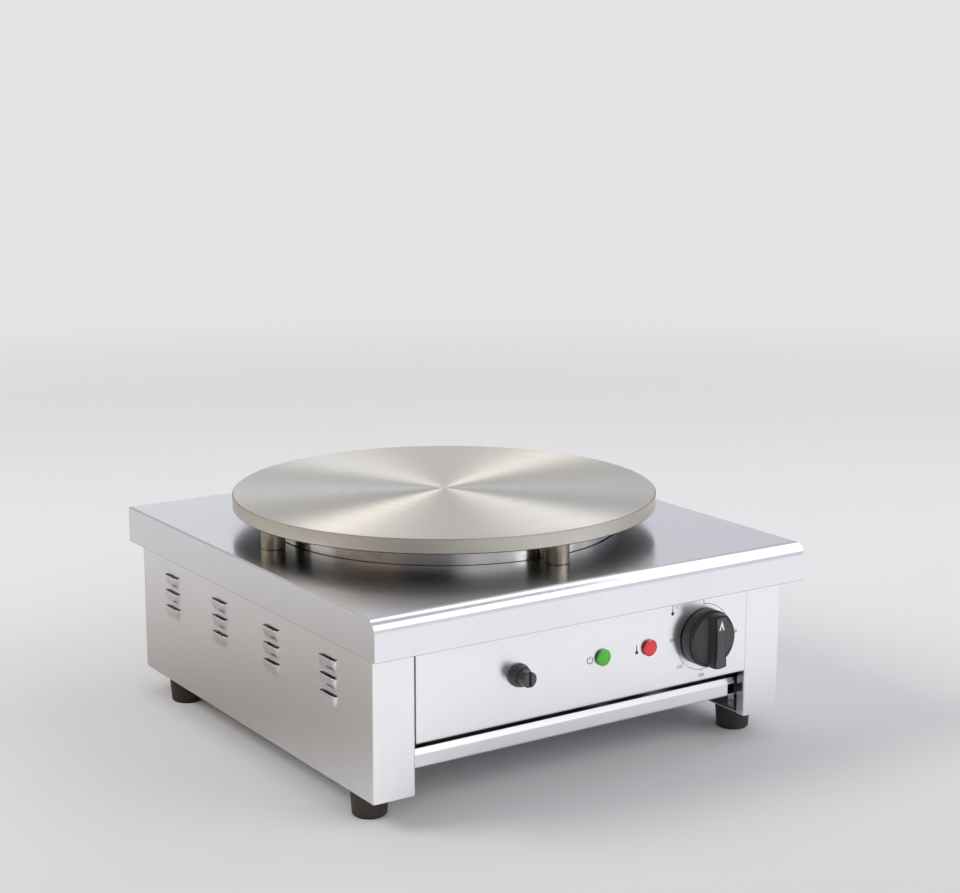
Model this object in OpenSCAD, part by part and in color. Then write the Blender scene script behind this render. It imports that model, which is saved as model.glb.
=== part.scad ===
// Countertop electric crepe maker: a turned cast griddle plate on four posts above a folded
// sheet-metal housing. Millimetres, +Z up, the front faces -Y, and the origin is on the table
// under the middle of the deck.

/* [Housing] */
// How far the side panels stand out past the plate
side_room = 17.2; // [15:0.1:40]
// How far the control panel stands out before the plate
front_room = 32.95; // [28:0.05:60]
// How far the back panel stands out behind the plate
back_room = 11.55; // [10:0.05:40]
// Height from the underside of the side panels to the underside of the deck
body_h = 160.2; // [150:0.2:220]
// Thickness of all the sheet metal
sheet = 1; // [0.8:0.1:1.5]
// Inner radius of the folds
bend_r = 0.8; // [0.5:0.1:1.5]
// Width of the side panels' front pillars
pillar_w = 40.2; // [30:0.2:60]
// Depth of the return behind each pillar's inner edge
pillar_return = 10; // [6:0.5:11]
// Width of the side panels' bottom flanges, which carry the feet
base_flange_w = 39; // [36:0.5:60]
// Width of the side panels' top flanges, which carry the deck
top_flange_w = 45; // [40:0.5:48]
// Width of the side panels' back returns, which carry the back panel
back_return_w = 27; // [16:0.5:40]
// Gap between neighbouring panels
panel_gap = 0.4; // [0.2:0.1:1]

/* [Louvres] */
// Columns of louvres on a side panel
louvre_columns = 4; // [1:1:4]
// Louvres in a column
louvre_rows = 3; // [1:1:4]
// Straight length of a louvre's slit
louvre_slit = 21.5; // [12:0.5:50]
// How far a louvre's lip stands out of the panel
louvre_lip = 3.2; // [2.5:0.1:7]
// Height of a louvre's hood below its lip
louvre_h = 9; // [7:0.1:13]
// Column pitch
louvre_pitch_y = 101.5; // [70:0.5:110]
// Row pitch
louvre_pitch_z = 15.5; // [14:0.1:24]
// Height of the top row's lip over the panel's lower edge
louvre_rise = 106.5; // [90:0.5:115]
// Louvre field's middle behind the middle of the deck
louvre_shift = 7.2; // [-10:0.1:20]

/* [Deck] */
// Deck's overhang past each side panel
deck_side = 9.3; // [4:0.1:20]
// Deck's overhang past the control panel
deck_front = 19.6; // [12:0.1:30]
// Deck's overhang past the back panel
deck_back = 10.4; // [4:0.1:30]
// Height of the deck's skirt
deck_skirt = 34.2; // [20:0.1:45]
// Outer radius of the rolled front edge
deck_front_r = 11; // [4:0.5:16]
// Outer radius of the deck's other top edges
deck_edge_r = 1.8; // [1.6:0.1:4]

/* [Griddle] */
// Diameter of the cast plate
plate_d = 400; // [370:1:440]
// Thickness of the plate
plate_t = 13.5; // [11:0.5:22]
// Gap between deck and plate
plate_gap = 19.1; // [14:0.1:40]
// Chamfer round the plate's edges
plate_chamfer = 0.7; // [0.3:0.1:2]
// Diameter of the four posts under the plate
post_d = 22; // [16:0.5:26]
// Distance from the plate's edge to the middle of each post
post_inset = 17; // [14:0.5:20]
// Thread diameter of the plate's studs
stud_d = 8; // [6:1:10]

/* [Heater] */
// Distance from the hole round the pan to the posts
post_gap = 5.5; // [3:0.5:20]
// Depth of the polished pan under the plate
pan_depth = 44.6; // [40:0.2:60]
// Wall of the pan
pan_wall = 0.8; // [0.6:0.1:1.2]
// Outer radius at the pan's floor
pan_corner_r = 7; // [4:0.5:12]
// Clearance round the pan in the deck
pan_clear = 1.5; // [0.5:0.1:3]
// Diameter of the sheathed elements
element_d = 8.5; // [6.5:0.1:9]
// Distance from the outer element's middle line to the pan's outside
element_rim = 30; // [22:0.5:40]
// Distance between neighbouring elements' middle lines
element_pitch = 40; // [32:0.5:45]
// Distance between the two legs of an element
element_leg_gap = 24; // [18:1:32]
// Length of an element's legs under the pan
element_leg_out = 14; // [8:1:25]

/* [Controls] */
// Height of the controls' axes over the side panels' lower edge
controls_rise = 85.2; // [78:0.1:92]
// Control panel's lower edge over the side panels' lower edge
panel_rise = 43.5; // [40:0.1:48]
// Thermostat knob, from the middle
knob_x = 126.9; // [115:0.1:135]
// Red lamp, from the middle
red_x = 64.5; // [50:0.5:72]
// Green lamp, from the middle
green_x = 13.5; // [-5:0.5:25]
// Reset cap, from the middle
reset_x = -75; // [-100:0.5:-50]
// Diameter of the knob's skirt
knob_d = 52; // [48:0.5:56]
// Height of the knob's skirt over the panel
knob_skirt_h = 12; // [11:0.5:15]
// Width of the skirt's rim round the knob's face
knob_rim = 1.8; // [1.4:0.1:3]
// Height of the knob's face over the panel
knob_face_h = 14.6; // [14.5:0.1:18]
// Height of the knob's grip over the panel
knob_h = 25; // [22:0.5:32]
// Width of the grip at its waist
grip_w = 11.4; // [8:0.2:13]
// Width of the grip at its ends
grip_end_w = 15.6; // [13.4:0.2:20]
// Diameter of the thermostat's spindle
spindle_d = 6; // [5:0.5:7]
// Diameter of the lamps' lenses
lens_d = 15; // [12:0.5:18]
// Height of the lenses over the panel
lens_h = 3.6; // [2.5:0.1:6]
// Diameter of the reset collar
collar_d = 20.5; // [18:0.5:26]
// Height of the reset collar
collar_h = 7; // [5:0.5:7.5]
// Diameter of the slotted reset cap
cap_d = 14; // [13:0.5:17]
// Height of the slotted cap over the panel
cap_h = 17.5; // [17:0.5:22]
// Travel of the reset button
reset_travel = 2; // [1:0.5:2.5]

/* [Base] */
// Base pan's underside over the side panels' lower edge
base_rise = 17.4; // [12:0.1:20]
// Setback of the base pan's front behind the control panel's face
base_setback = 12; // [11.5:0.1:14]
// Height of the base pan's front
base_front_h = 11.9; // [9:0.1:15]
// Height of the sloping lip on that front
base_lip = 5; // [3:0.1:6]
// How far that lip leans back
base_lip_lean = 2; // [1:0.1:6]
// Width of the notch at the right of the base pan's front
base_notch = 8.3; // [4:0.1:10]
// Distance from the right pillar to the notch's far side
base_notch_inset = 9.8; // [4:0.1:20]
// Height of the feet
foot_h = 24.3; // [18:0.1:35]
// Diameter of a foot at its top
foot_top_d = 33.4; // [28:0.2:36]
// Diameter of a foot at its bottom
foot_bottom_d = 29.6; // [24:0.2:34]
// Distance of the feet from the side panels' faces
foot_inset = 19; // [18.5:0.1:21]
// Distance of the front feet behind the control panel's face
foot_front = 39.8; // [28:0.1:60]
// Distance of the rear feet before the back panel's face
foot_back = 51.3; // [30:0.1:70]
// Thread diameter of the feet's screws
foot_screw_d = 6; // [5:1:8]

/* [Rear] */
// Mains cable gland, from the middle
gland_x = 150; // [100:1:165]
// Gland and bonding stud over the side panels' lower edge
rear_rise = 55; // [45:1:70]
// Diameter of the way through the gland
gland_bore_d = 12; // [8:0.5:13]
// Thread diameter of the gland
gland_thread_d = 20; // [18:0.5:22]
// Bonding stud, from the middle
bond_x = 105; // [60:1:112]
// Diameter of the bonding stud's free end
bond_d = 6; // [5:1:6]
// Diameter of the bonding stud's shank
bond_shank_d = 8; // [7:1:10]

/* [Hidden] */
$fn = 72;
eps = 0.01;
STEEL = "#c9cacb";
PLATE = "#cfc9bf";
POLISHED = "#dcdde0";
ZINC = "#b9bcc0";
BLACK = "#26272a";
RUBBER = "#2b2725";

body_w = plate_d + 2 * side_room;
body_d = plate_d + front_room + back_room;
deck_w = body_w + 2 * deck_side;
deck_d = body_d + deck_front + deck_back;
front_y = -deck_d / 2 + deck_front;
back_y = deck_d / 2 - deck_back;
plate_y = front_y + front_room + plate_d / 2;
post_r = plate_d / 2 - post_inset;
pan_d = 2 * (post_r - post_d / 2 - post_gap - pan_clear);
element_r3 = pan_d / 2 - element_rim;
element_r2 = element_r3 - element_pitch;
element_r1 = element_r2 - element_pitch;
base_z = foot_h;
roof_z = base_z + body_h;
deck_z = roof_z + sheet;
plate_z = deck_z + plate_gap;
wall_x = body_w / 2;
pillar_x = wall_x - pillar_w;
base_notch_x = pillar_x - base_notch_inset;
fold = bend_r + sheet / 2;
controls_z = base_z + controls_rise;
panel_z = base_z + panel_rise;
floor_z = base_z + base_rise;
apron_y = front_y + base_setback;
rear_z = base_z + rear_rise;
pan_z = plate_z - pan_depth;
thread_gap = 0.1;
hole_gap = 0.2;
running_gap = 0.05;
clamp_t = 1.5;
clamp_z = plate_z - element_d - 0.2 - clamp_t;
bulb_r = 3;
bulb_l = 60;
bulb_z = plate_z - bulb_r - 0.1;
bulb_x = (element_r1 + element_r2) / 2;
capillary_r = 1;
capillary_y = plate_y - bulb_l / 2 - 12;
leg_hole_r = element_d / 2 + 1;
foot_x = wall_x - foot_inset;
foot_ys = [front_y + foot_front, back_y - foot_back];
deck_stud_d = 5;
deck_stud_x = wall_x - top_flange_w / 2;
deck_stud_ys = [front_y + 26, back_y - 26];
rail_w = 20;
rail_h = 20;
screw_d = 4;
base_screw_x = wall_x - sheet - rail_w / 2;
base_screw_ys = [front_y + 60, plate_y, back_y - 60];
back_screw_x = wall_x - back_return_w / 2 - 2;
pan_back_h = 18;
back_screw_zs = [floor_z + pan_back_h + 10, (floor_z + roof_z) / 2, roof_z - deck_skirt - 12];
panel_return = 10;
panel_screw_y = front_y + 6;
panel_screw_zs = [panel_z + 12, roof_z - 22];
channel_w = 29;
channel_h = 20;
back_flange_y = plate_y + post_r + channel_w / 2 + sheet;
post_angles = [-90, 0, 90, 180];
bush_r = 5;
thermostat_screw_x = 14;
button_r = 3.14;
stud_reach = 8;
foot_roof = 8;
thermostat_r = 19;
thermostat_l = 26;
cover_w = 44;
cover_h = 26;
cover_l = 24;
stem_r = 2;
cap_floor = 14.2;
screw_l = 8;
deck_stud_l = 14;
nut_h = 0.8;
washer_t = 0.2;
bond_neck = 0.8;
bond_tip = 19.3;
terminal_pitch = 12;
terminal_h = 20;
terminal_d = 26;
clip_r = 8.5;
clip_t = 0.8;

// ---- folded sheet ----------------------------------------------------------------------

function unit(v) = v / norm(v);
function turn(a, p, b) = acos(max(-1, min(1, unit(p - a) * unit(b - p))));
function setback(path, i, rc) =
    i == 0 || i == len(path) - 1 ? 0 : rc * tan(turn(path[i - 1], path[i], path[i + 1]) / 2);

// One fold: the part of a ring that joins the legs on either side of point i.
module fold_arc(path, i, t, rc) {
    before = unit(path[i] - path[i - 1]);
    after = unit(path[i + 1] - path[i]);
    side = sign(cross(before, after));
    n1 = side * [-before.y, before.x];
    n2 = side * [-after.y, after.x];
    middle = path[i] - before * setback(path, i, rc) + n1 * rc;
    reach = 2 * (rc + t);
    half = turn(path[i - 1], path[i], path[i + 1]) / 2;
    intersection() {
        translate(middle) difference() {
            circle(rc + t / 2);
            circle(rc - t / 2);
        }
        polygon([middle, middle - n1 * reach,
                 middle - unit(n1 + n2) * reach / cos(half), middle - n2 * reach]);
    }
}

// A folded sheet seen edge on. The path runs along the middle of the sheet.
module folded(path, t = sheet, rc = fold) {
    last = len(path) - 1;
    for (i = [0:last - 1]) {
        along = unit(path[i + 1] - path[i]);
        length = norm(path[i + 1] - path[i]) - setback(path, i, rc) - setback(path, i + 1, rc);
        translate(path[i] + along * setback(path, i, rc))
            rotate(atan2(along.y, along.x)) translate([0, -t / 2]) square([length, t]);
    }
    for (i = [1:last - 1]) fold_arc(path, i, t, rc);
}

// Extrudes a section drawn in Y and Z along X, from -length/2 to length/2.
module along_x(length) {
    rotate([90, 0, 90]) linear_extrude(length, center = true) children();
}

// Extrudes a section drawn in X and Z along Y, from y0 to y1.
module along_y(y0, y1) {
    translate([0, y1, 0]) rotate([90, 0, 0]) linear_extrude(y1 - y0) children();
}

// A rectangle hanging down from y = 0, with rounded upper corners.
module round_top(w, h, r_left, r_right) {
    difference() {
        translate([-w / 2, -h]) square([w, h]);
        translate([-w / 2 - eps, -r_left]) square(r_left + eps);
        translate([w / 2 - r_right, -r_right]) square(r_right + eps);
    }
    intersection() {
        translate([-w / 2 + r_left, -r_left]) circle(r_left);
        translate([-w / 2, -r_left]) square(r_left);
    }
    intersection() {
        translate([w / 2 - r_right, -r_right]) circle(r_right);
        translate([w / 2 - r_right, -r_right]) square(r_right);
    }
}

// ---- fasteners -------------------------------------------------------------------------

module at_panel(x) {
    translate([x, front_y, controls_z]) rotate([90, 0, 0]) children();
}

module at_posts() {
    for (a = post_angles) translate([post_r * cos(a), plate_y + post_r * sin(a), 0]) children();
}

module ring(r_out, r_in, z0, z1) {
    translate([0, 0, z0]) difference() {
        cylinder(r = r_out, h = z1 - z0);
        translate([0, 0, -1]) cylinder(r = r_in, h = z1 - z0 + 2);
    }
}

// Hexagon nut over a plain washer, hanging down from z = 0.
module nut_and_washer(d) {
    ring(1.05 * d, d / 2 + thread_gap, -washer_t * d, 0);
    translate([0, 0, -(washer_t + nut_h) * d]) difference() {
        cylinder(r = 0.92 * d, h = nut_h * d, $fn = 6);
        translate([0, 0, -1]) cylinder(r = d / 2 + thread_gap, h = nut_h * d + 2);
    }
}

// Pan-head screw: the head is above z = 0, with a cross recess, and the shank hangs down.
module pan_screw(d, length) {
    head_r = 0.95 * d;
    head_h = 0.6 * d;
    slot = 0.22 * d;
    translate([0, 0, -length]) cylinder(r = d / 2, h = length + eps);
    difference() {
        cylinder(r1 = head_r, r2 = 0.8 * head_r, h = head_h);
        for (a = [0, 90]) rotate(a)
            translate([-0.55 * head_r, -slot / 2, 0.45 * head_h]) cube([1.1 * head_r, slot, head_h]);
    }
}

// ---- tubes that follow a curve ---------------------------------------------------------

// Points on a Catmull-Rom curve through the route.
function curve_point(a, b, c, d, t) =
    0.5 * (2 * b + (c - a) * t + (2 * a - 5 * b + 4 * c - d) * t * t
           + (3 * b - a - 3 * c + d) * t * t * t);
function smooth(route, steps) =
    let (last = len(route) - 1)
    concat([for (i = [0:last - 1], s = [0:steps - 1])
            curve_point(route[max(i - 1, 0)], route[i], route[i + 1],
                        route[min(i + 2, last)], s / steps)],
           [route[last]]);

// A tube swept along points, with its rings kept square to the curve.
module tube(points, r, sides = 8) {
    count = len(points);
    function heading(i) = unit(points[min(i + 1, count - 1)] - points[max(i - 1, 0)]);
    function across(i) =
        i == 0 ? unit(cross(heading(0), abs(heading(0).z) < 0.9 ? [0, 0, 1] : [1, 0, 0]))
        : let (last = across(i - 1), h = heading(i)) unit(last - h * (last * h));
    frames = [for (i = 0, a = across(0); i < count;
                   i = i + 1, a = i < count ? unit(a - heading(i) * (a * heading(i))) : a) a];
    rings = [for (i = [0:count - 1], k = [0:sides - 1])
             let (a = frames[i], b = cross(heading(i), a), w = 360 * k / sides)
             points[i] + r * (cos(w) * a + sin(w) * b)];
    walls = [for (i = [0:count - 2], k = [0:sides - 1])
             let (n = (k + 1) % sides)
             [i * sides + k, (i + 1) * sides + k, (i + 1) * sides + n, i * sides + n]];
    polyhedron(rings, concat(walls, [[for (k = [0:sides - 1]) k]],
               [[for (k = [sides - 1:-1:0]) (count - 1) * sides + k]]));
}

// ---- deck and housing ------------------------------------------------------------------

// The deck's outer form, or the form inside its sheet.
module deck_form(inset) {
    front_r = deck_front_r - inset;
    edge_r = deck_edge_r - inset;
    translate([0, 0, deck_z - inset]) intersection() {
        along_x(deck_w - 2 * inset) round_top(deck_d - 2 * inset, deck_skirt, front_r, edge_r);
        along_y(-deck_d / 2, deck_d / 2) round_top(deck_w - 2 * inset, deck_skirt, edge_r, edge_r);
    }
}

module deck_cover() {
    color(STEEL) difference() {
        deck_form(0);
        deck_form(sheet);
        translate([0, plate_y, deck_z - 5]) cylinder(r = pan_d / 2 + pan_clear, h = 10);
        at_posts() translate([0, 0, deck_z - 5]) cylinder(r = stud_d / 2 + hole_gap, h = 10);
    }
}

// Section of a louvre's hood: outward is +X, up is +Y, and the lip is at the origin's height.
module hood_section(inset, from_x, above) {
    hood_r = (louvre_lip * louvre_lip + louvre_h * louvre_h) / (2 * louvre_lip);
    intersection() {
        translate([louvre_lip - hood_r, 0]) circle(hood_r - inset);
        translate([from_x, -louvre_h]) square([louvre_lip - from_x, louvre_h + above]);
    }
}

// A pressed hood with rounded ends, open along its top. Outward is +X and its length is along Y.
module hood(inset, from_x, above) {
    rotate([90, 0, 0]) linear_extrude(louvre_slit, center = true) hood_section(inset, from_x, above);
    for (end = [0, 1]) mirror([0, end, 0]) translate([0, louvre_slit / 2, 0])
        rotate_extrude(angle = 90) hood_section(inset, 0, above);
}

module at_louvres() {
    for (i = [0:louvre_columns - 1], j = [0:louvre_rows - 1])
        translate([wall_x, louvre_shift + (i - (louvre_columns - 1) / 2) * louvre_pitch_y,
                   base_z + louvre_rise - j * louvre_pitch_z]) children();
}

// Right side panel: one sheet folded into the pillar, the back return and two flanges.
module side_panel() {
    pillar_top = roof_z - sheet - panel_gap;
    difference() {
        union() {
            translate([0, 0, base_z]) linear_extrude(pillar_top - base_z)
                folded([[pillar_x + sheet / 2, front_y + pillar_return],
                        [pillar_x + sheet / 2, front_y + sheet / 2],
                        [wall_x - sheet / 2, front_y + sheet / 2],
                        [wall_x - sheet / 2, back_y - sheet * 1.5],
                        [wall_x - back_return_w, back_y - sheet * 1.5]]);
            along_y(front_y + fold + sheet, back_y - fold - 2 * sheet)
                folded([[wall_x - base_flange_w, base_z + sheet / 2],
                        [wall_x - sheet / 2, base_z + sheet / 2],
                        [wall_x - sheet / 2, roof_z - sheet / 2],
                        [wall_x - top_flange_w, roof_z - sheet / 2]]);
            at_louvres() hood(0, -sheet / 2, 0);
        }
        at_louvres() hood(0.8 * sheet, -sheet - 1, 0.3);
        for (y = foot_ys) translate([foot_x, y, base_z - 5])
            cylinder(r = foot_screw_d / 2 + hole_gap, h = 10);
        for (y = deck_stud_ys) translate([deck_stud_x, y, roof_z - 5])
            cylinder(r = deck_stud_d / 2 + hole_gap, h = 10);
        translate([post_r, plate_y, roof_z - 5]) cylinder(r = stud_d / 2 + hole_gap, h = 10);
        for (z = back_screw_zs) translate([back_screw_x, back_y, z]) rotate([90, 0, 0])
            cylinder(r = screw_d / 2 + thread_gap, h = 10, center = true);
        for (z = panel_screw_zs) translate([pillar_x, panel_screw_y, z]) rotate([0, 90, 0])
            cylinder(r = screw_d / 2 + thread_gap, h = 10, center = true);
    }
}

module left_side_panel() { color(STEEL) mirror([1, 0, 0]) side_panel(); }

module right_side_panel() { color(STEEL) side_panel(); }

module back_panel() {
    bottom = base_z + 1;
    color(STEEL) difference() {
        along_x(body_w - 2 * panel_gap)
            folded([[back_y - sheet / 2, bottom], [back_y - sheet / 2, roof_z - sheet / 2],
                    [back_flange_y, roof_z - sheet / 2]]);
        // The top fold ends where the side panels' top flanges start.
        for (s = [-1, 1])
            translate([s * (wall_x - top_flange_w / 2), (back_flange_y + back_y) / 2 - sheet, roof_z])
                cube([top_flange_w + 1, back_y - back_flange_y + 2 * sheet, 10], center = true);
        translate([gland_x, back_y, rear_z]) rotate([90, 0, 0])
            cylinder(r = gland_thread_d / 2 + hole_gap, h = 10, center = true);
        translate([bond_x, back_y, rear_z]) rotate([90, 0, 0])
            cylinder(r = bond_shank_d / 2 + hole_gap, h = 10, center = true);
        for (s = [-1, 1], z = back_screw_zs) translate([s * back_screw_x, back_y, z]) rotate([90, 0, 0])
            cylinder(r = screw_d / 2 + hole_gap, h = 10, center = true);
    }
}

module control_panel() {
    half = pillar_x - panel_gap;
    top = roof_z - sheet - panel_gap;
    color(STEEL) difference() {
        union() {
            translate([0, 0, panel_z + 2 * fold]) linear_extrude(top - panel_z - 4 * fold)
                folded([[-half + sheet / 2, front_y + panel_return], [-half + sheet / 2, front_y + sheet / 2],
                        [half - sheet / 2, front_y + sheet / 2], [half - sheet / 2, front_y + panel_return]]);
            along_x(2 * (half - 0.2))
                folded([[front_y + 9, panel_z + sheet / 2], [front_y + sheet / 2, panel_z + sheet / 2],
                        [front_y + sheet / 2, top - sheet / 2], [front_y + 22, top - sheet / 2]]);
        }
        at_panel(knob_x) cylinder(r = bush_r + hole_gap, h = 10, center = true);
        for (s = [-1, 1]) at_panel(knob_x + s * thermostat_screw_x)
            cylinder(r = screw_d / 2 + hole_gap, h = 10, center = true);
        for (x = [green_x, red_x, reset_x]) at_panel(x)
            cylinder(r = bush_r + hole_gap, h = 10, center = true);
        for (s = [-1, 1], z = panel_screw_zs) translate([s * half, panel_screw_y, z]) rotate([0, 90, 0])
            cylinder(r = screw_d / 2 + hole_gap, h = 10, center = true);
    }
}

// An upright slot with round ends, cut through the base pan's floor.
module floor_slot(length, width) {
    translate([0, 0, floor_z - 5]) linear_extrude(10) {
        square([width, length - width], center = true);
        for (s = [-1, 1]) translate([0, s * (length - width) / 2]) circle(width / 2);
    }
}

module base_pan() {
    bend_z = floor_z + base_front_h;
    lean = atan(base_lip_lean / base_lip);
    half = wall_x - sheet - panel_gap;
    lip_x = pillar_x + 5;
    color(STEEL) difference() {
        along_x(2 * half) {
            folded([[apron_y + sheet / 2, bend_z - sheet], [apron_y + sheet / 2, floor_z + sheet / 2],
                    [back_y - 3.5 * sheet, floor_z + sheet / 2],
                    [back_y - 3.5 * sheet, floor_z + pan_back_h]]);
            polygon([[apron_y, bend_z - sheet], [apron_y + sheet, bend_z - sheet],
                     [apron_y + sheet, bend_z - sheet * tan(lean / 2)],
                     [apron_y + base_lip_lean + sheet * cos(lean), bend_z + base_lip - sheet * sin(lean)],
                     [apron_y + base_lip_lean, bend_z + base_lip], [apron_y, bend_z]]);
        }
        translate([base_notch_x + base_notch / 2, apron_y, floor_z + base_front_h / 2])
            cube([base_notch, 3 * sheet, base_front_h - sheet / 2], center = true);
        // The lip ends behind the pillars.
        for (s = [-1, 1]) translate([s * (lip_x + 40), apron_y + base_lip_lean / 2, bend_z + base_lip])
            cube([80, 2 * base_lip_lean + 4 * sheet, 2 * base_lip], center = true);
        for (i = [-5:5], j = [-1, 1]) translate([i * 22, plate_y + j * 70, 0]) floor_slot(60, 6);
        for (s = [-1, 1], y = base_screw_ys) translate([s * base_screw_x, y, floor_z - 5])
            cylinder(r = screw_d / 2 + hole_gap, h = 10);
    }
}

// Angle inside a side panel that the base pan is screwed up to.
module pan_rail() {
    difference() {
        along_y(apron_y + 12, back_y - 12)
            folded([[wall_x - sheet - rail_w, floor_z + sheet * 1.5],
                    [wall_x - sheet * 1.5, floor_z + sheet * 1.5],
                    [wall_x - sheet * 1.5, floor_z + sheet + rail_h]]);
        for (y = base_screw_ys) translate([base_screw_x, y, floor_z - 5])
            cylinder(r = screw_d / 2 + thread_gap, h = 20);
    }
}

module left_pan_rail() { color(ZINC) mirror([1, 0, 0]) pan_rail(); }

module right_pan_rail() { color(ZINC) pan_rail(); }

// Channel under the deck that takes the load of a post.
module stiffener(y) {
    half = (channel_w - sheet) / 2;
    difference() {
        along_x(2 * (wall_x - top_flange_w - panel_gap)) translate([y, 0])
            folded([[-half, roof_z - channel_h], [-half, roof_z - sheet / 2],
                    [half, roof_z - sheet / 2], [half, roof_z - channel_h]]);
        translate([0, y, roof_z - 5]) cylinder(r = stud_d / 2 + hole_gap, h = 10);
    }
}

module front_stiffener() { color(ZINC) stiffener(plate_y - post_r); }

module rear_stiffener() { color(ZINC) stiffener(plate_y + post_r); }

// ---- griddle and heater ----------------------------------------------------------------

module griddle_plate() {
    c = plate_chamfer;
    blind = stud_reach + 0.5;
    color(PLATE) difference() {
        translate([0, plate_y, plate_z]) rotate_extrude($fn = 180)
            polygon([[0, 0], [plate_d / 2 - c, 0], [plate_d / 2, c], [plate_d / 2, plate_t - c],
                     [plate_d / 2 - c, plate_t], [0, plate_t]]);
        at_posts() translate([0, 0, plate_z - 1]) cylinder(r = stud_d / 2 + thread_gap, h = blind + 1);
        translate([0, plate_y, plate_z - 1]) cylinder(r = stud_d / 2 + thread_gap, h = blind + 1);
    }
}

module plate_posts() {
    color(PLATE) at_posts() ring(post_d / 2, stud_d / 2 + hole_gap, deck_z, plate_z);
}

module plate_studs() {
    tail = 2 * sheet + 1.4 * stud_d;
    color(ZINC) at_posts() translate([0, 0, deck_z - tail])
        cylinder(r = stud_d / 2, h = plate_gap + stud_reach + tail);
}

module plate_nuts() {
    color(ZINC) at_posts() translate([0, 0, roof_z - sheet]) nut_and_washer(stud_d);
}

// Holes for everything that passes down through the pan, the insulation and the clamp.
module heater_holes(z0, z1, clear = 0) {
    for (r = [element_r1, element_r2, element_r3], s = [-1, 1])
        translate([s * element_leg_gap / 2, plate_y + element_seat(r), z0])
            cylinder(r = leg_hole_r + clear, h = z1 - z0);
    for (s = [-1, 1]) translate([s * bulb_x, capillary_y, z0]) cylinder(r = 3 * capillary_r, h = z1 - z0);
    translate([0, plate_y, z0]) cylinder(r = stud_d / 2 + hole_gap + clear, h = z1 - z0);
}

function element_seat(r) = sqrt(r * r - element_leg_gap * element_leg_gap / 4);

module heater_pan() {
    r = pan_d / 2;
    top = pan_depth - 0.2;
    color(POLISHED) difference() {
        translate([0, plate_y, pan_z]) rotate_extrude($fn = 180) difference() {
            pan_section(r, top, pan_corner_r);
            translate([0, pan_wall]) pan_section(r - pan_wall, top, pan_corner_r - pan_wall);
        }
        heater_holes(pan_z - 5, pan_z + 5);
    }
}

// Half section of a dish with a rounded floor corner.
module pan_section(r, h, corner) {
    square([r - corner, h]);
    translate([0, corner]) square([r, h - corner]);
    intersection() {
        translate([r - corner, corner]) circle(corner);
        translate([r - corner, 0]) square(corner);
    }
}

// Sheathed element: an open circle against the plate, with two legs down through the pan.
module element(r) {
    seat = element_seat(r);
    open = atan((element_leg_gap - element_d) / 2 / seat);
    tube_z = plate_z - element_d / 2 - 0.1;
    leg_z = pan_z - element_leg_out;
    leg_r = element_d / 2 - 0.25;
    translate([0, plate_y, tube_z]) rotate(90 + open)
        rotate_extrude(angle = 360 - 2 * open, $fn = 96) translate([r, 0]) circle(element_d / 2, $fn = 32);
    for (s = [-1, 1]) translate([s * element_leg_gap / 2, plate_y + seat, leg_z]) {
        cylinder(r = leg_r, h = tube_z - leg_z, $fn = 32);
        translate([0, 0, -9]) cylinder(r = 2, h = 9.5, $fn = 24);
    }
}

module element_inner() { color("#5d5a57") element(element_r1); }

module element_middle() { color("#5d5a57") element(element_r2); }

module element_outer() { color("#5d5a57") element(element_r3); }

// Pressed disc that holds the elements and the two sensing bulbs up against the plate.
module element_clamp() {
    color(ZINC) {
        difference() {
            translate([0, plate_y, clamp_z]) cylinder(r = element_r3 + element_d + 6, h = clamp_t);
            heater_holes(clamp_z - 1, clamp_z + clamp_t + 1);
        }
        for (s = [-1, 1], t = [-1, 1])
            translate([s * bulb_x - 4, plate_y + t * bulb_l / 3 - 3, clamp_z + clamp_t / 2])
                cube([8, 6, bulb_z - bulb_r - clamp_z - clamp_t / 2 - 0.05]);
    }
}

module insulation_disc() {
    bottom = pan_z + pan_wall + 0.2;
    color("#e8e2d2") difference() {
        translate([0, plate_y, bottom]) cylinder(r = pan_d / 2 - pan_corner_r, h = clamp_z - bottom - 0.2);
        heater_holes(bottom - 1, clamp_z + 1, 1);
    }
}

module pan_stud() {
    color(ZINC) translate([0, plate_y, pan_z - 12]) cylinder(r = stud_d / 2, h = pan_depth + 12 + stud_reach);
}

module pan_nut() { color(ZINC) translate([0, plate_y, pan_z]) nut_and_washer(stud_d); }

// Sensing bulb against the plate, with its capillary run to the back of a thermostat.
module sensor(side, x_end) {
    x = side * bulb_x;
    y = capillary_y;
    z = controls_z;
    translate([x, plate_y, bulb_z]) rotate([90, 0, 0])
        cylinder(r = bulb_r, h = bulb_l, center = true, $fn = 32);
    tube(smooth([[x, y + 12.5, bulb_z], [x, y + 2.5, bulb_z - 3], [x, y, clamp_z - 6], [x, y, pan_z + 10],
                 [x, y, pan_z - 6], [x, y - 6, pan_z - 16], [(x + x_end) / 2, y - 60, z + 25],
                 [x_end, front_y + 78, z + 8], [x_end, front_y + 48, z], [x_end, front_y + 33, z]], 4),
         capillary_r);
}

module thermostat_bulb() { color("#b87650") sensor(1, knob_x); }

module safety_bulb() { color("#b87650") sensor(-1, reset_x); }

// ---- controls --------------------------------------------------------------------------

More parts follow.
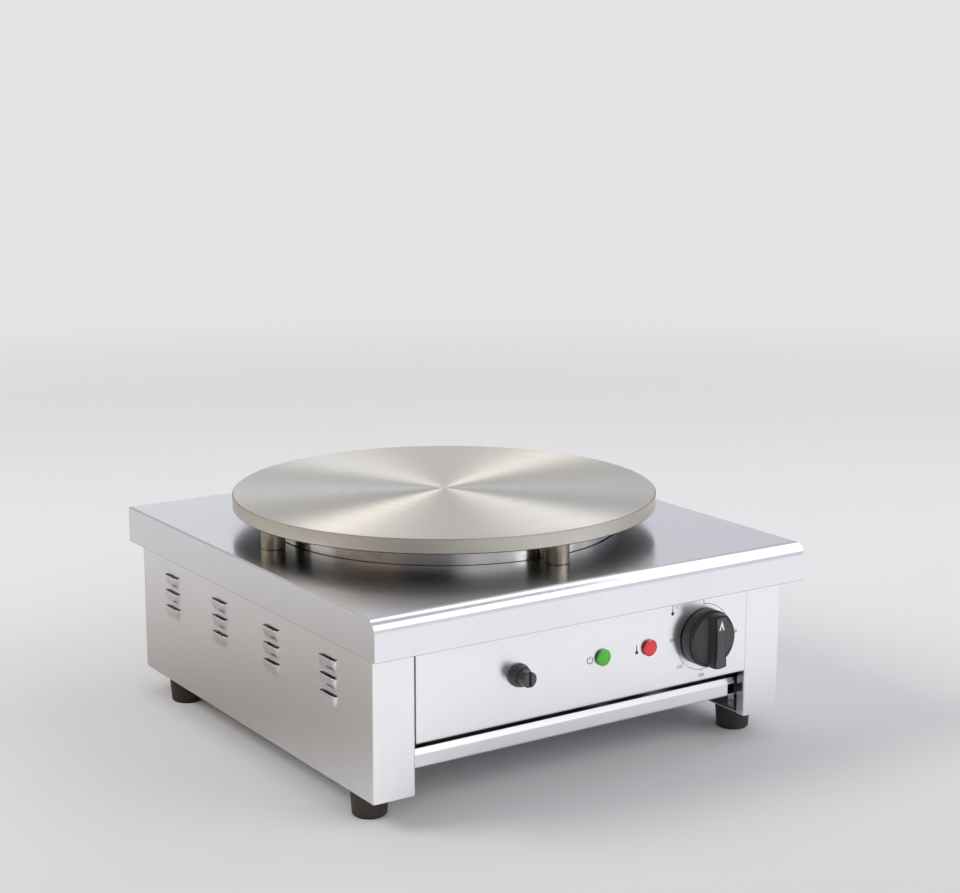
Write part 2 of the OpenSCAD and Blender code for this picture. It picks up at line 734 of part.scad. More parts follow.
module thermostat_body() {
    plate_h = 1.2;
    back = sheet + plate_h + thermostat_l;
    color("#8d8f92") difference() {
        at_panel(knob_x) {
            translate([0, 0, -sheet - plate_h / 2]) cube([42, 30, plate_h], center = true);
            translate([0, 0, -back]) cylinder(r = thermostat_r, h = thermostat_l + eps);
            translate([0, 0, cover_l / 2 - 5 - back]) cube([cover_w, cover_h, cover_l], center = true);
            for (i = [-1, 0, 1]) translate([i * 14, -16, -thermostat_l]) cube([6.3, 10, 0.8], center = true);
            translate([0, 0, -sheet - plate_h]) cylinder(r = bush_r, h = sheet + plate_h + 2.5);
        }
        at_panel(knob_x) translate([0, 0, -14]) cylinder(r = spindle_d / 2 + running_gap, h = 30);
        for (s = [-1, 1]) at_panel(knob_x + s * thermostat_screw_x) translate([0, 0, -8])
            cylinder(r = screw_d / 2 + thread_gap, h = 12);
        at_panel(knob_x) translate([0, 0, -5 - back]) cylinder(r = 2, h = 3.5);
    }
}

module thermostat_screws() {
    color(ZINC) for (s = [-1, 1]) at_panel(knob_x + s * thermostat_screw_x) pan_screw(screw_d, 7);
}

// Spindle with a flat on the end that the knob is pushed onto.
module thermostat_spindle() {
    color(ZINC) at_panel(knob_x) difference() {
        translate([0, 0, -13.5]) cylinder(r = spindle_d / 2, h = 13.5 + knob_skirt_h - 1);
        translate([-spindle_d, spindle_d / 2 - 1.5, 3.5]) cube([2 * spindle_d, spindle_d, knob_skirt_h]);
    }
}

// Grip seen from the front: waisted sides and ends on the skirt's circle.
module grip_outline() {
    reach = knob_d / 2 - 1.5;
    flare = (grip_end_w - grip_w) / 2;
    waist_r = (reach * reach + flare * flare) / (2 * flare);
    difference() {
        intersection() {
            circle(reach);
            square([grip_end_w, 2 * reach], center = true);
        }
        for (s = [-1, 1]) translate([s * (grip_w / 2 + waist_r), 0]) circle(waist_r);
    }
}

module knob() {
    base = 1;
    skirt_r = knob_d / 2;
    face_r = skirt_r - knob_rim;
    dish_r = 26;
    dish_x = (face_r + grip_w / 2) / 2;
    roof = knob_skirt_h - 2.4;
    edge = 0.8;
    color(BLACK) at_panel(knob_x) difference() {
        union() {
            difference() {
                rotate_extrude(convexity = 4)
                    polygon([[0, base], [skirt_r, base], [skirt_r, knob_skirt_h - edge],
                             [skirt_r - edge, knob_skirt_h], [face_r + 0.4, knob_skirt_h],
                             [face_r, knob_skirt_h + 0.6], [face_r, knob_face_h - 0.5],
                             [face_r - 0.5, knob_face_h], [0, knob_face_h]]);
                // Two shallow finger dishes, one on each side of the grip.
                for (s = [-1, 1]) translate([s * dish_x, 0, knob_face_h + dish_r - 1.3]) rotate([90, 0, 0])
                    cylinder(r = dish_r, h = 2 * face_r - 6, center = true);
            }
            intersection() {
                translate([0, 0, knob_skirt_h - 1]) linear_extrude(knob_h - knob_skirt_h + 1) grip_outline();
                rotate([90, 0, 0]) linear_extrude(knob_d, center = true)
                    polygon([[-grip_end_w / 2, 0], [grip_end_w / 2, 0],
                             [grip_end_w / 2, knob_h - edge], [grip_end_w / 2 - edge, knob_h],
                             [-grip_end_w / 2 + edge, knob_h], [-grip_end_w / 2, knob_h - edge]]);
            }
        }
        ring(skirt_r - 2.2, 6, base - 1, roof);
        translate([0, 0, base - 1]) cylinder(r = 6.1, h = 2.9);
        difference() {
            translate([0, 0, 0]) cylinder(r = spindle_d / 2 + thread_gap, h = knob_skirt_h - 0.8);
            translate([-spindle_d, spindle_d / 2 - 1.4, 3.5]) cube([2 * spindle_d, spindle_d, knob_skirt_h]);
        }
    }
}

module safety_thermostat() {
    plate_h = 1.2;
    body_l = 28;
    mouth = 8;
    tip = 12;
    color("#8d8f92") difference() {
        at_panel(reset_x) {
            translate([0, 0, -sheet - plate_h / 2]) cube([24, 24, plate_h], center = true);
            translate([0, 0, -sheet - plate_h - body_l / 2]) cube([32, 40, body_l + eps], center = true);
            for (i = [-1, 1]) translate([i * 8, -24, -18]) cube([6.3, 10, 0.8], center = true);
            translate([0, 0, -sheet - plate_h]) cylinder(r = bush_r, h = sheet + plate_h + tip);
        }
        at_panel(reset_x) translate([0, 0, -4]) cylinder(r = button_r + 0.06, h = 4 + mouth);
        at_panel(reset_x) translate([0, 0, mouth - 1]) cylinder(r = stem_r + 0.08, h = 8);
        at_panel(reset_x) translate([0, 0, -sheet - plate_h - body_l - 1]) cylinder(r = 2, h = 5);
    }
}

// Ring nut that holds the safety thermostat's bush, with a grip milled round it.
module reset_collar() {
    flutes = 18;
    color(BLACK) at_panel(reset_x) difference() {
        rotate_extrude() polygon([[bush_r + thread_gap, 0], [collar_d / 2, 0], [collar_d / 2, 2.2],
                                  [collar_d / 2 - 0.5, 2.7], [collar_d / 2 - 1.2, collar_h - 0.6],
                                  [collar_d / 2 - 1.8, collar_h], [bush_r + thread_gap, collar_h]]);
        for (i = [0:flutes - 1]) rotate(i * 360 / flutes)
            translate([collar_d / 2 + 0.15, 0, 2.7]) cylinder(r = 1.1, h = collar_h);
    }
}

module reset_cap() {
    seat = collar_h + 0.35;
    color(BLACK) at_panel(reset_x) difference() {
        rotate_extrude() polygon([[0, seat], [cap_d / 2, seat], [cap_d / 2, cap_h - 0.7],
                                  [cap_d / 2 - 0.7, cap_h], [0, cap_h]]);
        translate([0, 0, seat - 1]) cylinder(r = bush_r + 0.08, h = cap_floor - seat + 1);
        translate([0, 0, cap_h]) cube([2.4, cap_d + 1, 4], center = true);
    }
}

module reset_button() {
    color("#b3302b") at_panel(reset_x) {
        translate([0, 0, 0.6]) cylinder(r = button_r, h = 7.1);
        translate([0, 0, 7.6]) cylinder(r = stem_r, h = 5.5);
    }
}

// Coil spring under the button.
module reset_spring() {
    turns = 3.5;
    wire_r = 0.28;
    coil_r = button_r - 0.9;
    low = -4 + wire_r + 0.02;
    high = 0.6 - wire_r - 0.04;
    color(ZINC) at_panel(reset_x)
        tube([for (i = [0:14 * turns]) let (w = i * 360 / 14, f = i / (14 * turns))
              [coil_r * cos(w), coil_r * sin(w), low + (high - low) * f]], wire_r, 6);
}

// Lens with a flat rim and a low dome, on a stem through the panel.
module lens(x) {
    rim = 0.65 * lens_h;
    r = lens_d / 2;
    dome_r = (r * r + (lens_h - rim) * (lens_h - rim)) / (2 * (lens_h - rim));
    at_panel(x) {
        cylinder(r = r, h = rim);
        intersection() {
            translate([0, 0, lens_h - dome_r]) sphere(dome_r);
            translate([0, 0, rim - 0.5]) cylinder(r = r - 0.4, h = lens_h);
        }
        translate([0, 0, -4]) cylinder(r = bush_r - 0.6, h = 5);
    }
}

module green_lamp_lens() { color("#35b34a") lens(green_x); }

module red_lamp_lens() { color("#e0333b") lens(red_x); }

// Lamp housing behind the panel, open in front for the lens's stem, with two blades behind.
module lamp_body(x) {
    length = 24;
    at_panel(x) difference() {
        union() {
            translate([0, 0, -length]) cylinder(r = bush_r, h = length - 0.2);
            for (s = [-1, 1]) translate([s * 2.4, 0, -length - 4]) cube([0.8, 4.8, 8 + eps], center = true);
        }
        translate([0, 0, -4.2]) cylinder(r = bush_r - 0.5, h = 8);
    }
}

module green_lamp_body() { color("#e9e6df") lamp_body(green_x); }

module red_lamp_body() { color("#e9e6df") lamp_body(red_x); }

// Spring washers that hold the lamps from behind.
module lamp_clips() {
    color(ZINC) for (x = [green_x, red_x]) at_panel(x) difference() {
        translate([0, 0, -sheet - clip_t]) cylinder(r = clip_r, h = clip_t);
        cylinder(r = bush_r + thread_gap, h = 10, center = true);
        for (a = [0:60:300]) rotate(a) translate([bush_r + 1, 0, 0]) cube([3, 1, 10], center = true);
    }
}

// ---- base and rear ---------------------------------------------------------------------

// Five-pole block on the base pan where the mains cable ends.
module terminal_block() {
    poles = 5;
    pitch = terminal_pitch;
    h = terminal_h;
    depth = terminal_d;
    way_r = pitch / 4;
    corner = [gland_x - poles * pitch / 2 - 10, back_y - 80, floor_z + sheet];
    color("#e9e6df") translate(corner) difference() {
        cube([poles * pitch, depth, h]);
        for (i = [0:poles - 1]) translate([(i + 0.5) * pitch, 0, 0]) {
            translate([0, -1, 0.4 * h]) rotate([-90, 0, 0]) cylinder(r = way_r, h = depth + 2);
            for (y = [0.27, 0.73]) translate([0, y * depth, 0.6 * h]) cylinder(r = way_r, h = h);
        }
        for (i = [1:poles - 1]) translate([(i - 0.05) * pitch, -1, 0.8 * h])
            cube([0.1 * pitch, depth + 2, h]);
    }
}

// Gland body: a threaded tube through the back panel with a hexagon flange outside.
module cable_gland() {
    r = gland_thread_d / 2;
    color(BLACK) translate([gland_x, back_y, rear_z]) rotate([-90, 0, 0]) difference() {
        union() {
            translate([0, 0, -10]) cylinder(r = r, h = 18);
            cylinder(r = r + 3.2, h = 5, $fn = 6);
        }
        translate([0, 0, -11]) cylinder(r = gland_bore_d / 2, h = 20);
    }
}

module gland_dome_nut() {
    r = gland_thread_d / 2;
    color(BLACK) translate([gland_x, back_y, rear_z]) rotate([-90, 0, 0]) difference() {
        intersection() {
            translate([0, 0, 5.2]) cylinder(r = r + 3, h = 14.4, $fn = 8);
            rotate_extrude() polygon([[0, 5.2], [r + 2.6, 5.2], [r + 2.6, 13], [r + 1.4, 16.4], [r - 1, 18.6],
                                      [r - 3, 19.6], [0, 19.6]]);
        }
        translate([0, 0, 4]) cylinder(r = r + thread_gap, h = 5);
        cylinder(r = gland_bore_d / 2 + 0.4, h = 30);
    }
}

module gland_locknut() {
    r = gland_thread_d / 2;
    color(BLACK) translate([gland_x, back_y - sheet, rear_z]) rotate([90, 0, 0]) difference() {
        cylinder(r = r + 3.4, h = 4.5, $fn = 6);
        translate([0, 0, -1]) cylinder(r = r + thread_gap, h = 8);
    }
}

// Turned stud: the shank is clamped in the back panel, and the free end takes a bonding wire.
module bonding_stud() {
    r = bond_d / 2;
    shank_r = bond_shank_d / 2;
    nuts = (washer_t + nut_h) * bond_shank_d;
    color(ZINC) translate([bond_x, back_y, rear_z]) rotate([-90, 0, 0]) rotate_extrude()
        polygon([[0, -nuts - 3], [shank_r, -nuts - 3], [shank_r, nuts + 0.3], [r - 0.5, nuts + 0.3],
                 [r - 0.5, nuts + 0.3 + bond_neck], [r, nuts + 0.3 + bond_neck], [r, bond_tip - 0.6],
                 [r - 0.6, bond_tip], [0, bond_tip]]);
}

module bonding_nuts() {
    color(ZINC) translate([bond_x, back_y, rear_z]) {
        rotate([90, 0, 0]) translate([0, 0, sheet]) mirror([0, 0, 1]) nut_and_washer(bond_shank_d);
        rotate([-90, 0, 0]) mirror([0, 0, 1]) nut_and_washer(bond_shank_d);
    }
}

// Tapered rubber foot with a deep recess for its screw.
module foot(x, y) {
    recess_r = foot_screw_d + 1.5;
    color(RUBBER) translate([x, y, 0]) difference() {
        rotate_extrude() polygon([[0, 0], [foot_bottom_d / 2 - 1, 0], [foot_bottom_d / 2, 1],
                                  [foot_top_d / 2, foot_h - 0.5], [foot_top_d / 2 - 0.5, foot_h],
                                  [0, foot_h]]);
        translate([0, 0, -1]) cylinder(r = recess_r, h = foot_h - foot_roof + 1);
        translate([0, 0, -1]) cylinder(r = foot_screw_d / 2 + hole_gap, h = foot_h + 2);
    }
}

module front_left_foot() { foot(-foot_x, foot_ys[0]); }

module front_right_foot() { foot(foot_x, foot_ys[0]); }

module rear_left_foot() { foot(-foot_x, foot_ys[1]); }

module rear_right_foot() { foot(foot_x, foot_ys[1]); }

module at_feet() {
    for (s = [-1, 1], y = foot_ys) translate([s * foot_x, y, 0]) children();
}

module foot_screws() {
    color(ZINC) at_feet() translate([0, 0, foot_h - foot_roof]) mirror([0, 0, 1])
        pan_screw(foot_screw_d, foot_roof + sheet + 1.3 * foot_screw_d);
}

module foot_nuts() {
    color(ZINC) at_feet() translate([0, 0, base_z + sheet]) mirror([0, 0, 1]) nut_and_washer(foot_screw_d);
}

module base_screws() {
    color(ZINC) for (s = [-1, 1], y = base_screw_ys) translate([s * base_screw_x, y, floor_z])
        mirror([0, 0, 1]) pan_screw(screw_d, screw_l);
}

module back_screws() {
    color(ZINC) for (s = [-1, 1], z = back_screw_zs) translate([s * back_screw_x, back_y, z])
        rotate([-90, 0, 0]) pan_screw(screw_d, screw_l);
}

module panel_screws() {
    color(ZINC) for (s = [0, 1], z = panel_screw_zs) mirror([s, 0, 0])
        translate([pillar_x - panel_gap - sheet, panel_screw_y, z]) rotate([0, -90, 0]) pan_screw(screw_d, 6);
}

// Studs welded under the deck and the nuts that hold it to the side panels.
module deck_studs() {
    color(ZINC) for (s = [-1, 1], y = deck_stud_ys) translate([s * deck_stud_x, y, roof_z - deck_stud_l])
        cylinder(r = deck_stud_d / 2, h = deck_stud_l);
}

module deck_nuts() {
    color(ZINC) for (s = [-1, 1], y = deck_stud_ys) translate([s * deck_stud_x, y, roof_z - sheet])
        nut_and_washer(deck_stud_d);
}

deck_cover();
left_side_panel();
right_side_panel();
back_panel();
control_panel();
base_pan();
left_pan_rail();
right_pan_rail();
front_stiffener();
rear_stiffener();
griddle_plate();
plate_posts();
plate_studs();
plate_nuts();
heater_pan();
element_inner();
element_middle();
element_outer();
element_clamp();
insulation_disc();
pan_stud();
pan_nut();
thermostat_body();
thermostat_screws();
thermostat_spindle();
thermostat_bulb();
knob();
safety_thermostat();
safety_bulb();
reset_collar();
reset_cap();
reset_button();
reset_spring();
green_lamp_lens();
green_lamp_body();
red_lamp_lens();
red_lamp_body();
lamp_clips();
terminal_block();
cable_gland();
gland_dome_nut();
gland_locknut();
bonding_stud();
bonding_nuts();
front_left_foot();
front_right_foot();
rear_left_foot();
rear_right_foot();
foot_screws();
foot_nuts();
base_screws();
back_screws();
panel_screws();
deck_studs();
deck_nuts();
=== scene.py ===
import math
import bmesh
import bpy
import numpy as np
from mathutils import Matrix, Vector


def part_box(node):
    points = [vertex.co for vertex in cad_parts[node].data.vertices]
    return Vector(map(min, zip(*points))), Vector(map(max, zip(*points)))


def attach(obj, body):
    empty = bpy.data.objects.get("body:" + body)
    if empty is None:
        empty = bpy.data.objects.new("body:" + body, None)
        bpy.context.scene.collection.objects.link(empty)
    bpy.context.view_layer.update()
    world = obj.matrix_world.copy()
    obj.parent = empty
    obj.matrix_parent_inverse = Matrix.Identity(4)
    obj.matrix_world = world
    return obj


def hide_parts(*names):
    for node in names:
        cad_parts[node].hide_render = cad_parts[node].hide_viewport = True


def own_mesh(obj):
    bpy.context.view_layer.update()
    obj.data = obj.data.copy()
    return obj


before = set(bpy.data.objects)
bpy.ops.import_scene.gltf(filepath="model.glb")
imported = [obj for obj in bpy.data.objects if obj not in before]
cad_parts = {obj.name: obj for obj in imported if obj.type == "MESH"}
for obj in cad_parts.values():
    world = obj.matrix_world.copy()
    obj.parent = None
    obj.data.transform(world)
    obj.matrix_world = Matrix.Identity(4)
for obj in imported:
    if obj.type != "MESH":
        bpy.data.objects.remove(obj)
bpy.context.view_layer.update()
mm = 0.001               # a millimetre in the scene's metres

# ---- Studio ----------------------------------------------------------------------------
# A pale sheet of paper for a floor, which fades into the background, with five softboxes and a
# broad reflector round the machine, and a camera on a stand before its left front corner.

bpy.context.scene.view_settings.view_transform = "Standard"


def linear(code):
    """Linear colour of an sRGB hex code: c / 12.92 below 0.04045, else ((c + 0.055) / 1.055) ^ 2.4."""
    srgb = np.array([int(code[i:i + 2], 16) for i in (1, 3, 5)]) / 255
    low = srgb / 12.92
    high = ((srgb + 0.055) / 1.055) ** 2.4
    return (*np.where(srgb <= 0.04045, low, high), 1.0)


def add(tree, kind, inputs, **settings):
    """Adds one node. Inputs are numbers, vectors, colours or other nodes' outputs, by socket."""
    made = tree.nodes.new(kind)
    for name, value in settings.items():
        setattr(made, name, value)
    for key, value in inputs.items():
        if isinstance(value, bpy.types.NodeSocket):
            tree.links.new(value, made.inputs[key])
        else:
            made.inputs[key].default_value = value
    return made


def blend(tree, share, first, second):
    """Two colours mixed by a share of the second."""
    return add(tree, "ShaderNodeMix", {0: share, 6: first, 7: second}, data_type="RGBA").outputs[2]


def remap(tree, value, start, stop, low, high):
    """A value moved from one range to another, in a straight line."""
    return add(tree, "ShaderNodeMapRange", {"Value": value, "From Min": start, "From Max": stop,
                                            "To Min": low, "To Max": high}).outputs[0]


def smoothstep(tree, value, start, stop):
    """A share that rises from 0 at the start to 1 at the stop, flat at both: 3 t^2 - 2 t^3."""
    return add(tree, "ShaderNodeMapRange", {"Value": value, "From Min": start, "From Max": stop},
               interpolation_type="SMOOTHSTEP").outputs[0]


def darkened(tree, shade, tint):
    """A tint times a shade: black at 0 and the whole tint at 1."""
    return blend(tree, shade, (0, 0, 0, 1), linear(tint))


def noise(tree, place, scale, detail):
    """Soft noise over a place, from 0 to 1, with so many features to the metre."""
    return add(tree, "ShaderNodeTexNoise", {"Vector": place, "Scale": scale,
                                            "Detail": detail}).outputs["Fac"]


def new_tree(name):
    """An empty material and its node tree."""
    material = bpy.data.materials.new(name)
    material.use_nodes = True
    material.node_tree.nodes.clear()
    return material, material.node_tree


def surfaced(material, shader):
    """The material, with a shader put on its surface."""
    add(material.node_tree, "ShaderNodeOutputMaterial", {"Surface": shader.outputs[0]})
    return material


def grid_mesh(name, points, materials, closed=False, sharp=40):
    """A mesh over grids of points (copies, rows, columns, 3), where four neighbours make a face. A
    closed grid joins its last column to its first. Points in one place are merged: it shuts the poles."""
    rows, columns = points.shape[-3:-1]
    index = np.arange(points.size // 3).reshape(-1, rows, columns)
    if closed:
        index = np.concatenate([index, index[..., :1]], -1)
    corners = index[:, :-1, :-1], index[:, :-1, 1:], index[:, 1:, 1:], index[:, 1:, :-1]
    return solid_mesh(name, points.reshape(-1, 3), np.stack(corners, -1).reshape(-1, 4), materials, sharp)


def solid_mesh(name, points, faces, materials, sharp=40):
    """An object from points and faces, merged, turned outwards and shaded smooth up to an angle."""
    mesh = bpy.data.meshes.new(name)
    mesh.from_pydata(points.tolist(), [], faces.tolist())
    work = bmesh.new()
    work.from_mesh(mesh)
    bmesh.ops.remove_doubles(work, verts=work.verts, dist=1e-7)
    bmesh.ops.recalc_face_normals(work, faces=work.faces)
    work.to_mesh(mesh)
    work.free()
    mesh.shade_smooth()
    mesh.set_sharp_from_angle(angle=math.radians(sharp))
    for material in materials:
        mesh.materials.append(material)
    made = bpy.data.objects.new(name, mesh)
    bpy.context.collection.objects.link(made)
    return made


def turned(profile, segments=240):
    """Points of a half profile (r, z) turned about +Z: (r cos a, r sin a, z) for equal angles a."""
    angle = np.linspace(0, 2 * np.pi, segments, endpoint=False)
    r, z = profile[:, :1], profile[:, 1:]
    return np.stack([r * np.cos(angle), r * np.sin(angle), z + 0 * angle], -1)


def paper_floor():
    """Matt paper that thins out to nothing with distance. Its tone holds painted shade: a little darker
    near the machine, as a painted contact shadow, and darker and warmer behind it on the left, as the
    machine's painted shadow, which the steel mirrors. The camera sees it in one pale tone."""
    material, tree = new_tree("matt_paper")
    place = add(tree, "ShaderNodeTexCoord", {}).outputs["Object"]
    distance = add(tree, "ShaderNodeVectorMath", {0: place}, operation="LENGTH").outputs["Value"]
    fade = smoothstep(tree, distance, 0.9, 3.0)
    left = add(tree, "ShaderNodeVectorMath", {0: place, 1: (-0.75, 0.66, 0)},
               operation="DOT_PRODUCT").outputs["Value"]
    shaded = smoothstep(tree, left, 0.0, 0.3)
    away = smoothstep(tree, distance, 0.3, 1.0)
    # Painted shade: the paper is a little darker near the machine, and darker and warmer behind it on the
    # left.
    front_painted_shade_tone = blend(tree, away, linear("#f4f5f7"), linear("#f8f9fb"))
    left_painted_shadow_tone = blend(tree, away, linear("#bdb7b2"), linear("#cfcecd"))
    tone = blend(tree, shaded, front_painted_shade_tone, left_painted_shadow_tone)
    seen = add(tree, "ShaderNodeLightPath", {}).outputs["Is Camera Ray"]
    shown = blend(tree, seen, tone, linear("#dadadb"))
    paper = add(tree, "ShaderNodeBsdfDiffuse", {"Color": shown, "Roughness": 0.8})
    clear = add(tree, "ShaderNodeBsdfTransparent", {})
    mixed = add(tree, "ShaderNodeMixShader", {0: fade, 1: paper.outputs[0], 2: clear.outputs[0]})
    return surfaced(material, mixed)


def soft_lamp(name, azimuth, elevation, distance, width, height, watts, tint="#ffffff"):
    """A soft lamp aimed at the machine, placed by its direction as seen from there."""
    aim = np.array((0, 0, 0.15))
    a, e = math.radians(azimuth), math.radians(elevation)
    away = np.array((math.cos(a) * math.cos(e), math.sin(a) * math.cos(e), math.sin(e)))
    lamp = bpy.data.lights.new(name, "AREA")
    lamp.shape = "RECTANGLE"
    lamp.size = width
    lamp.size_y = height
    lamp.energy = watts
    lamp.color = linear(tint)[:3]
    made = bpy.data.objects.new(name, lamp)
    made.location = away * distance + aim
    made.rotation_euler = (math.pi / 2 - e, 0, a + math.pi / 2)
    bpy.context.collection.objects.link(made)


def studio_world():
    """Surroundings by the direction looked in. Low down there are pale walls round the compass with
    dark openings between them, and higher up a pale ceiling. The camera sees a plain backdrop."""
    walls = ((0, "#a3a8b1"), (35, "#b9bcc4"), (48, "#dfe0e6"), (66, "#f6f7fa"), (76, "#f6f7fa"),
             (92, "#c4c4c8"), (113, "#cdccca"), (157, "#c6c3bf"), (165, "#75706b"), (176, "#8f7863"),
             (204, "#7c6650"), (212, "#26262a"), (240, "#26262a"), (254, "#dedee2"), (345, "#dedfe3"),
             (356, "#a3a8b1"))
    world = bpy.data.worlds.new("studio")
    world.use_nodes = True
    tree = world.node_tree
    tree.nodes.clear()
    bpy.context.scene.world = world
    place = add(tree, "ShaderNodeTexCoord", {}).outputs["Generated"]
    axes = add(tree, "ShaderNodeSeparateXYZ", {0: place})
    radians = add(tree, "ShaderNodeMath", {0: axes.outputs["Y"], 1: axes.outputs["X"]},
                  operation="ARCTAN2")
    turns = add(tree, "ShaderNodeMath", {0: radians.outputs[0], 1: 2 * math.pi}, operation="DIVIDE")
    compass = add(tree, "ShaderNodeMath", {0: turns.outputs[0]}, operation="FRACT")
    ramp = add(tree, "ShaderNodeValToRGB", {0: compass.outputs[0]})
    stops = ramp.color_ramp.elements
    stops[0].color = linear(walls[0][1])
    stops[1].color = linear(walls[-1][1])
    for degrees, tint in walls[1:]:
        stops.new(degrees / 360).color = linear(tint)
    rise = smoothstep(tree, axes.outputs["Z"], 0.24, 0.42)
    tone = blend(tree, rise, ramp.outputs[0], linear("#bfc0c3"))
    seen = add(tree, "ShaderNodeLightPath", {}).outputs["Is Camera Ray"]
    shown = blend(tree, seen, tone, linear("#e8e8e9"))
    light = add(tree, "ShaderNodeBackground", {"Color": shown, "Strength": 0.96})
    add(tree, "ShaderNodeOutputWorld", {"Surface": light.outputs[0]})


sheet = turned(np.array([[0, 0], [1.0, 0], [5.2, 0]]))
floor = grid_mesh("paper_sheet", sheet, [paper_floor()], closed=True)
studio_world()
soft_lamp("left_softbox", 158, 40, 2.2, 1.1, 0.9, 24, "#fffaf4")
soft_lamp("right_softbox", 352, 40, 2.2, 0.9, 0.9, 9, "#f6f9ff")
soft_lamp("rear_right_softbox", 18, 54, 2.2, 0.9, 0.9, 3, "#f6f9ff")
soft_lamp("rear_reflector", 56, 66, 2.4, 1.8, 1.2, 5)
soft_lamp("front_softbox", 305, 32, 2.6, 1.9, 1.3, 17)
soft_lamp("rear_left_softbox", 98, 60, 2.2, 1.0, 0.9, 3, "#fffaf4")

lens = bpy.data.cameras.new("camera")
lens.sensor_width = 36
lens.lens = 73.53
camera = bpy.data.objects.new("camera", lens)
camera.location = (-0.9746, -1.5171, 0.6271)
looks_down = 11.495
looks_right = 33.52
camera.rotation_euler = (math.radians(90 - looks_down), 0, math.radians(-looks_right))
bpy.context.collection.objects.link(camera)
bpy.context.scene.camera = camera

# ---- Sheet steel housing ---------------------------------------------------------------
# Folded 1 mm stainless sheet with a fine brushed finish, laid along each panel's length: the
# deck, the side panels with their pressed louvres, the back, the control panel and the base pan.


def brushed_steel(name, tint, rough):
    """Brushed stainless: fine hairlines along the panel, which spread reflections across them."""
    hair = 0.35 * mm
    run = 60 * mm
    material, tree = new_tree(name)
    coords = add(tree, "ShaderNodeTexCoord", {})
    place = coords.outputs["Object"]
    axes = add(tree, "ShaderNodeSeparateXYZ", {0: place})
    facing = add(tree, "ShaderNodeSeparateXYZ", {0: coords.outputs["Normal"]})
    sideways = add(tree, "ShaderNodeMath", {0: facing.outputs["X"]}, operation="ABSOLUTE").outputs[0]
    is_side = add(tree, "ShaderNodeMath", {0: sideways, 1: 0.7}, operation="GREATER_THAN").outputs[0]
    x, y, z = (axes.outputs[i] for i in "XYZ")
    along = add(tree, "ShaderNodeMix", {0: is_side, 2: x, 3: y}).outputs[0]
    across = add(tree, "ShaderNodeMix", {0: is_side, 2: y, 3: x}).outputs[0]
    lines = add(tree, "ShaderNodeCombineXYZ", {"X": along, "Y": across, "Z": z}).outputs[0]
    stretched = add(tree, "ShaderNodeVectorMath", {0: lines, 1: (1 / run, 1 / hair, 1 / hair)},
                    operation="MULTIPLY").outputs[0]
    hairs = add(tree, "ShaderNodeTexNoise", {"Vector": stretched, "Scale": 1.0, "Detail": 3.0,
                                             "Roughness": 0.6}).outputs["Fac"]
    cloud = noise(tree, place, 9.0, 2.0)
    gloss = remap(tree, hairs, 0.3, 0.7, rough - 0.02, rough + 0.02)
    blotch = remap(tree, cloud, 0.3, 0.7, 0.97, 1.0)
    streak = remap(tree, hairs, 0.3, 0.7, 0.98, 1.0)
    shade = add(tree, "ShaderNodeMath", {0: blotch, 1: streak}, operation="MULTIPLY").outputs[0]
    colour = darkened(tree, shade, tint)
    relief = add(tree, "ShaderNodeBump", {"Height": hairs, "Strength": 0.012, "Distance": 0.02 * mm})
    grain = add(tree, "ShaderNodeCombineXYZ", {"X": 0.0, "Y": 0.05, "Z": 1.0}).outputs[0]
    steel = add(tree, "ShaderNodeBsdfPrincipled", {
        "Base Color": colour, "Metallic": 1.0, "Roughness": gloss, "Anisotropic": 0.6,
        "Normal": relief.outputs[0], "Tangent": grain})
    return surfaced(material, steel)


def dress(material, *nodes):
    """Gives CAD pieces a finish."""
    for name in nodes:
        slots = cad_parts[name].data.materials
        for i in range(len(slots)):
            slots[i] = material


panel_steel = brushed_steel("brushed_stainless_panel", "#ececee", 0.25)
deck_steel = brushed_steel("brushed_stainless_deck", "#e6e6ea", 0.2)
dress(deck_steel, "deck_cover")
dress(panel_steel, "left_side_panel", "right_side_panel", "back_panel", "control_panel", "base_pan")

# The louvres' hoods are drawn out of the side panels by the press, so each runs into its panel in
# a hollow curve. A skin of the same sheet lies over each hood and ends just under the panel's face.
# Here and for the controls, bare lengths are in millimetres.
wall_x = 217.2
louvre_lip = 3.2
louvre_h = 9.0
slit = 21.5
hollow = 1.3
end_run = 4.0
sunk = 0.09
skin = 0.55
past_slit = 6.4
drop = 12.6
lip_break = 0.06
top_lip_z = 130.8
row_pitch = 15.5
field_y = 7.2
column_pitch = 101.5


def hood_height(across, down):
    """How far a hood stands out. Its section is the circle through the lip and the panel at its foot,
    carried round the ends as an ellipse: a = lip - R + sqrt(R^2 - rho^2). The hollow is the smooth
    maximum of that and the panel, (a + sqrt(a^2 + k^2)) / 2."""
    circle_r = (louvre_lip ** 2 + louvre_h ** 2) / (2 * louvre_lip)
    past = np.maximum(np.abs(across) - slit / 2, 0) * louvre_h / end_run
    rho = np.hypot(down, past)
    a = louvre_lip - circle_r + np.sqrt(np.maximum(circle_r ** 2 - rho ** 2, 4))
    return (a + np.sqrt(a ** 2 + hollow ** 2)) / 2 - sunk


